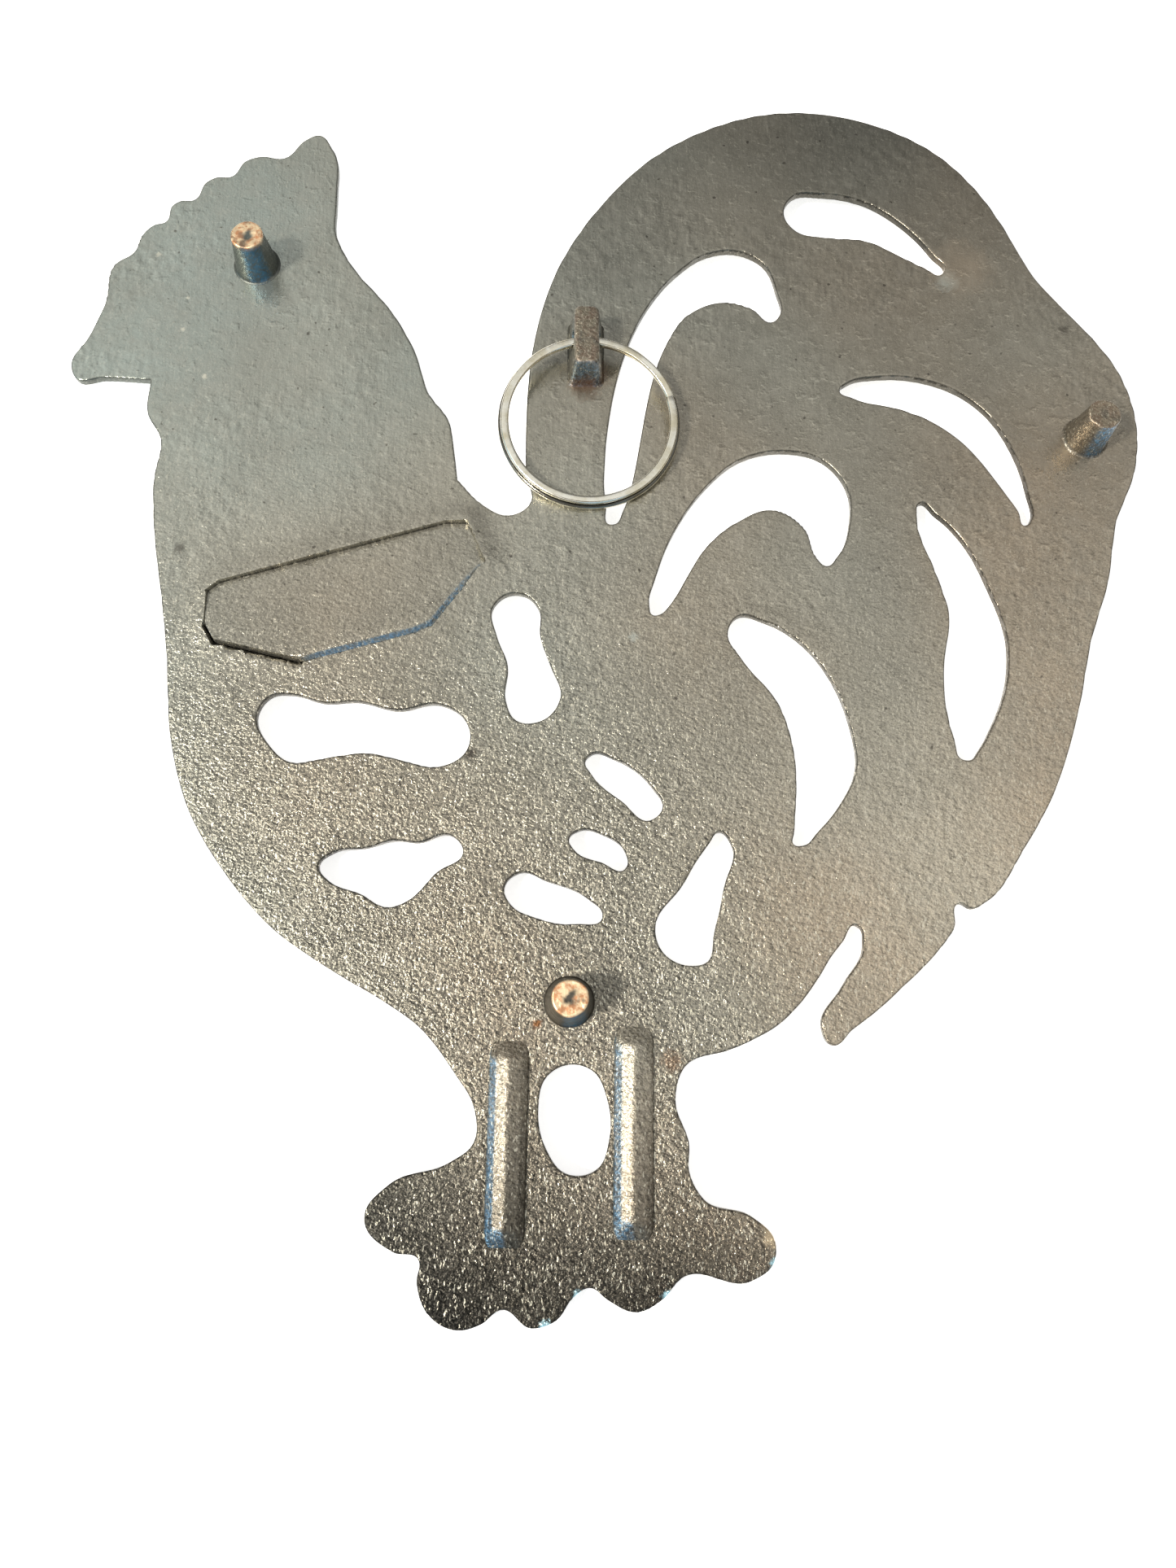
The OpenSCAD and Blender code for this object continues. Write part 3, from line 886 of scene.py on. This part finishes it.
# Small marks on the back, among them painted highlights: place in millimetres, radius in millimetres,
# softness, colour, strength
MARKS = (
    ((-11.2, -61.2), 0.75, 0.5, RUST, 0.95),
    ((8.8, -66.6), 1.3, 0.9, RUST, 0.45),
    ((-69.8, 14.2), 0.8, 0.8, DARK_SPOT, 0.6),
    ((-4.3, 45.4), 2.0, 0.9, RUST, 0.5),
    ((-2.0, 47.5), 2.0, 0.9, RUST, 0.4),
    ((60.0, 67.8), 1.7, 0.8, PALE, 0.75),
    ((62.5, 70.5), 3.6, 1.2, WARM_GREY, 0.55),
    ((-22.0, -19.8), 0.9, 0.7, DARK_SPOT, 0.85),
    ((79.9, 58.3), 0.8, 0.8, DARK_SPOT, 0.55),
    ((3.7, -0.1), 0.7, 0.8, PALE, 0.5),
    # Painted highlights on small lumps of the head and neck
    ((-78.0, 69.5), 0.5, 0.5, PAINTED_GLINT, 0.4),
    ((-72.3, 60.9), 0.4, 0.5, PAINTED_GLINT, 0.45),
    ((-72.6, 54.7), 0.4, 0.5, PAINTED_GLINT, 0.45),
    ((-68.3, 45.8), 0.5, 0.5, PAINTED_GLINT, 0.5),
    # Painted highlights along the claws' lower edges and at the spur's end
    ((-9.4, -102.6), 1.0, 0.4, PAINTED_CYAN_HIGHLIGHT, 0.9),
    ((-4.8, -98.8), 1.0, 0.4, PAINTED_CYAN_HIGHLIGHT, 0.9),
    ((7.6, -98.8), 1.0, 0.4, PAINTED_CYAN_HIGHLIGHT, 0.9),
    ((23.0, -90.6), 1.6, 0.8, CREAM_WEAR_AND_HIGHLIGHT, 0.5),
    ((23.4, -94.6), 1.1, 0.4, PAINTED_CYAN_HIGHLIGHT, 0.8),
)


def plating(s, sand, mottle):
    """The plating's colour before the tarnish, the painted shade and the painted relief light are laid on:
    clouded, mottled, sandy where the grain is, with painted sparkle on the grain's peaks, painted shade in
    its hollows, and dark pits.
    """
    grain = s.field("grain")
    cloud = s.noise(14 * MM, 3, 0.55)
    colour = s.mix(s.field("warm"), GREEN_GREY, WARM_GREY)
    colour = s.mix(s.span(cloud, 0.3, 0.7, 0.0, 0.4), colour, CLOUD)
    colour = s.mix(s.span(mottle, 0.4, 0.75, 0.0, 0.22), colour, MOTTLE)
    # Painted sparkle on the peaks of the grain
    glitter = s.math("MULTIPLY", s.span(sand, 0.5, 0.68), grain)
    colour = s.mix(s.math("MULTIPLY", glitter, 0.35), colour, CHAMPAGNE_GLINT)
    # Painted shade in the hollows of the grain
    hollow_shade = s.math("MULTIPLY", s.span(sand, 0.47, 0.36), grain)
    colour = s.mix(s.math("MULTIPLY", hollow_shade, 0.65), colour, HOLLOW_SHADE)
    pits = s.span(s.noise(1.1 * MM, 1, 0.5, shift=(3, 1, 2)), 0.27, 0.2)
    return s.mix(s.math("MULTIPLY", pits, 0.7), colour, DARK_SPOT)


def painted_relief_light(s):
    """Painted light and shade: how much lighter or darker the grain and the lumps are painted for the way
    they slope towards the key lamp, about 1.
    """
    sandy = s.math("MULTIPLY", s.lit(0.72 * MM, 2, 0.6, SAND_STRETCH, SAND_TURN), 4.6)
    tone = s.math("MULTIPLY_ADD", sandy, s.field("grain"), 1)
    patchy = s.span(s.noise(22 * MM, 2, 0.5, shift=(8, 8, 1)), 0.42, 0.6, 0.25, 1.0)
    lumpy = s.math("MULTIPLY", s.lit(1.9 * MM, 2, 0.5, shift=LUMPS_AT), 1.1)
    brushed = s.lit(0.8 * MM, 1, 0.5, (1, 0.2, 1), BRUSH_TURN)
    lumpy = s.math("MULTIPLY_ADD", brushed, 0.45, lumpy)
    tone = s.math("MULTIPLY_ADD", lumpy, patchy, tone)
    return s.math("MAXIMUM", tone, 0.25)


def painted_glints(s):
    """Painted glints: 1 on the small specks of the cast grain that are painted bright as glints of light,
    fewer where it is smooth or painted darker.
    """
    specks = s.noise(0.46 * MM, 1, 0.5, (1.9, 0.65, 1), math.radians(-14), (9, 4, 2))
    bright = s.math("MULTIPLY", s.span(specks, 0.64, 0.67), s.span(s.field("grain"), 0.1, 1.0, 0.12, 1.0))
    return s.math("MULTIPLY", bright, s.span(s.field("tarnish_and_shade"), 0.1, 0.8, 0.6, 1.0))


def bare_metal(s):
    """Scuffed copper and cream with dark smudges, where a tip is ground through the plating."""
    scuffed = s.span(s.noise(1.5 * MM, 3, 0.7, shift=(5, 5, 5)), 0.42, 0.56)
    smudge = s.span(s.noise(2.4 * MM, 2, 0.6, shift=(2, 7, 1)), 0.58, 0.68, 0.0, 0.8)
    return s.mix(smudge, s.mix(scuffed, COPPER, CREAM_WEAR_AND_HIGHLIGHT), SMUDGE)


def cast_surface(s, sand):
    """The surface's direction over the lumps, the sandy grain, the fine tooth and the brushing."""
    grain = s.field("grain")
    lumps = s.noise(1.7 * MM, 2, 0.55, shift=LUMPS_AT)
    fine = s.noise(0.33 * MM, 2, 0.6)
    brushed = s.noise(0.42 * MM, 2, 0.55, (1, 0.12, 1), BRUSH_TURN)
    normal = s.bump(s.span(lumps, 0.56, 0.8), 0.07 * MM)
    normal = s.bump(s.math("MULTIPLY", s.span(sand, 0.40, 0.75), grain), 0.09 * MM, normal)
    normal = s.bump(s.math("MULTIPLY", fine, s.span(grain, 0, 1, 0.4, 1.0)), 0.035 * MM, normal)
    return s.bump(brushed, 0.035 * MM, normal)


def plated_casting(name, smoothest):
    """Dull nickel plate over a sand-cast face: smooth and greenish at the head, sandy and warm lower down,
    with painted shade, painted glints and a painted window reflection in its colour.
    """
    s = Shader(name)
    sand = s.noise(0.56 * MM, 3, 0.6, SAND_STRETCH, SAND_TURN)
    mottle = s.noise(2.6 * MM, 3, 0.6)
    # Scaled by the tarnish and by the painted shade and light stored on the vertices
    colour = s.scale(plating(s, sand, mottle), s.field("tarnish_and_shade"))
    # Painted reflection of the windows, in blue, where the surface faces them
    sheen = s.math("MULTIPLY", s.field("window_reflection"), s.span(sand, 0.38, 0.6, 0.25, 1.0))
    colour = s.mix(sheen, colour, PAINTED_WINDOW_BLUE)
    # Painted light and shade on the grain and the lumps
    colour = s.scale(colour, painted_relief_light(s))
    # Painted glints
    colour = s.mix(s.math("MULTIPLY", painted_glints(s), 0.9), colour, PAINTED_GLINT)
    # The marks: rust, stains and specks, and some painted highlights
    for place, radius, softness, tint, strength in MARKS:
        spot = s.spot((place[0] * MM, place[1] * MM, BACK), radius * MM, softness)
        colour = s.mix(s.math("MULTIPLY", spot, strength), colour, tint)
    colour = s.mix(s.field("worn"), colour, bare_metal(s))
    roughness = s.span(mottle, 0.3, 0.7, smoothest, smoothest + 0.11)
    return s.finish(Base_Color=colour, Roughness=roughness, Normal=cast_surface(s, sand), Metallic=0.78)


RING_BRIGHT = (1.0, 0.97, 0.86, 1)
RING_YELLOWED = (0.66, 0.58, 0.38, 1)


def ring_steel():
    """Bright plated spring steel with fine drawing lines and a little yellowing."""
    s = Shader("RingSteel")
    tarnish = s.span(s.noise(3.5 * MM, 3, 0.6), 0.4, 0.65)
    colour = s.mix(s.math("MULTIPLY", tarnish, 0.7), RING_BRIGHT, RING_YELLOWED)
    # Painted shade where the two turns face each other
    colour = s.scale(colour, s.field("tarnish_and_shade"))
    scratches = s.noise(0.5 * MM, 3, 0.6)
    roughness = s.span(scratches, 0.3, 0.7, 0.13, 0.24)
    normal = s.bump(scratches, 0.01 * MM)
    return s.finish(Base_Color=colour, Roughness=roughness, Normal=normal, Metallic=1.0)


CARD_WHITES = (0.91, 0.91, 0.91, 1), (0.93, 0.93, 0.93, 1)
CARD_GLOW = 0.75


def floor_card():
    """Matt white card with a faint tooth, lit from below like a light table."""
    s = Shader("WhiteCard")
    tooth = s.noise(0.6 * MM, 2, 0.5)
    colour = s.mix(s.span(tooth, 0.3, 0.7), *CARD_WHITES)
    normal = s.bump(tooth, 0.01 * MM)
    return s.finish(
        Base_Color=colour, Roughness=0.9, Normal=normal, Emission_Color=colour, Emission_Strength=CARD_GLOW
    )


def give(piece, body, nodes, material):
    """The piece's material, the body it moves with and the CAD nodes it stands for."""
    piece.data.materials.clear()
    piece.data.materials.append(material)
    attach(piece, body)
    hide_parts(*nodes)


# ---------------------------------------------------------------- stage, light and camera


FLOOR_SIZE = 6.0
FLOOR_CELLS = 24
FLOOR_BELOW = 0.02 * MM

# The camera stood over the legs, a little left of the middle, and looked up the back
CAMERA_AT = Vector((-9.7, -70.1, 177.3)) * MM + Vector((0, 0, BACK))
CAMERA_AIM = Vector((-3.6, -24.6, 0)) * MM + Vector((0, 0, BACK))
CAMERA_LENS = 27.03

# The room's walls and its ceiling, and the heights in degrees between which one turns into the other
ROOM_WALLS = (0.12, 0.11, 0.10, 1)
ROOM_CEILING = (0.78, 0.78, 0.76, 1)
CEILING_HEIGHTS = (12, 45)
# Soft round patches in the room: where, the angles in degrees where each starts and is full, and colour.
# The first two are dim, and the last two are windows.
ROOM_PATCHES = (
    ((0.25, 0.75, 0.62), 34, 8, (0.22, 0.22, 0.22, 1)),
    ((-0.03, -0.36, 0.93), 22, 10, (0.10, 0.09, 0.08, 1)),
    ((0.24, -0.86, 0.40), 28, 14, (0.34, 0.50, 0.64, 1)),
    ((-0.97, -0.10, 0.22), 26, 14, (0.46, 0.70, 0.88, 1)),
)
WHITE = (1, 1, 1, 1)

KEY_DISTANCE = 1.1
KEY_SIZE = 0.16
KEY_POWER = 15
KEY_TINT = (1.0, 0.94, 0.84)


def lay_floor():
    reach = FLOOR_SIZE / 2
    level = PLATE_LOW.z - FLOOR_BELOW
    row = FLOOR_CELLS + 1
    steps = [reach * (2 * i / FLOOR_CELLS - 1) for i in range(row)]
    points = [(x, y, level) for y in steps for x in steps]
    corners = [j * row + i for j in range(FLOOR_CELLS) for i in range(FLOOR_CELLS)]
    floor = add_mesh("Floor", points, [(a, a + 1, a + row + 1, a + row) for a in corners])
    floor.data.materials.append(floor_card())


def light_room():
    """A bright ceiling over a dim room with blue windows low down, white to the camera's own rays."""
    world = bpy.data.worlds.new("Room")
    bpy.context.scene.world = world
    world.use_nodes = True
    n = Nodes(world.node_tree)
    direction = n.add("ShaderNodeTexCoord").outputs["Generated"]
    height = n.add("ShaderNodeSeparateXYZ", {0: direction}).outputs["Z"]
    low, high = (math.sin(math.radians(angle)) for angle in CEILING_HEIGHTS)
    room = n.mix(n.span(height, low, high, interpolation_type="SMOOTHSTEP"), ROOM_WALLS, ROOM_CEILING)
    for towards, outer, inner, colour in ROOM_PATCHES:
        aim = {0: direction, 1: Vector(towards).normalized()}
        near = n.add("ShaderNodeVectorMath", aim, operation="DOT_PRODUCT").outputs["Value"]
        start, full = (math.cos(math.radians(angle)) for angle in (outer, inner))
        room = n.mix(n.span(near, start, full, interpolation_type="SMOOTHSTEP"), room, colour)
    camera_ray = n.add("ShaderNodeLightPath").outputs["Is Camera Ray"]
    background = n.tree.nodes["Background"]
    n.put(background.inputs["Color"], n.mix(camera_ray, room, WHITE))
    n.put(background.inputs["Strength"], 1.0)


def hang_key_lamp():
    """A warm round lamp, up to the left, aimed at the middle of the back."""
    lamp = bpy.data.lights.new("KeyLamp", "AREA")
    lamp.shape = "DISK"
    lamp.size = KEY_SIZE
    lamp.energy = KEY_POWER
    lamp.color = KEY_TINT
    stand = bpy.data.objects.new("KeyLamp", lamp)
    direction = KEY_TOWARDS.normalized()
    stand.location = direction * KEY_DISTANCE
    stand.rotation_euler = direction.to_track_quat("Z", "Y").to_euler()
    stand.visible_camera = False
    bpy.context.scene.collection.objects.link(stand)


def set_camera():
    eye = bpy.data.cameras.new("Camera")
    eye.lens = CAMERA_LENS
    eye.sensor_width = 36
    eye.clip_start = 10 * MM
    stand = bpy.data.objects.new("Camera", eye)
    forward = (CAMERA_AIM - CAMERA_AT).normalized()
    right = forward.cross(Vector((0, 1, 0))).normalized()
    up = right.cross(forward)
    stand.matrix_world = Matrix.Translation(CAMERA_AT) @ Matrix((right, up, -forward)).transposed().to_4x4()
    bpy.context.scene.collection.objects.link(stand)
    bpy.context.scene.camera = stand


# ---------------------------------------------------------------- assembly


def build():
    casting = plated_casting("PlatedCasting", smoothest=0.22)
    tips = plated_casting("WornFoot", smoothest=0.38)
    rough = plated_casting("RibCasting", smoothest=0.31)
    plate, panel = rooster_plate(), maker_panel()
    paint(plate, painted_shade=plate_wall_shade)
    paint(panel, sheen=panel_sheen)
    give(plate, "casting", ["rooster_plate"], casting)
    give(panel, "casting", ["maker_panel"], casting)
    for node, name in (("left_leg_rib", "LeftLegRib"), ("right_leg_rib", "RightLegRib")):
        rib = leg_rib(node, name)
        paint(rib, RIB_PAINTED_LIGHT, RIB_SAND, rib_side_shade, rib_sheen)
        give(rib, "casting", [node], rough)
    lug = hanger_lug()
    paint(lug, LUG_SHINE, LUG_SAND, sheen=lug_sheen, worn=worn_crown)
    give(lug, "casting", ["hanger_lug"], tips)
    for node, name, bright, wear in FEET:
        low, high = (Vector(c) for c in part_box(node))
        piece = foot(node, name)
        ground = worn_tip((low + high) / 2, high.z, wear)
        paint(piece, bright, FOOT_SAND * (1 - wear), sheen=foot_sheen, worn=ground)
        give(piece, "casting", [node], tips)
    give(split_ring(), "ring", ["split_ring"], ring_steel())


build()
lay_floor()
light_room()
hang_key_lamp()
set_camera()
bpy.context.scene.view_settings.view_transform = "Standard"
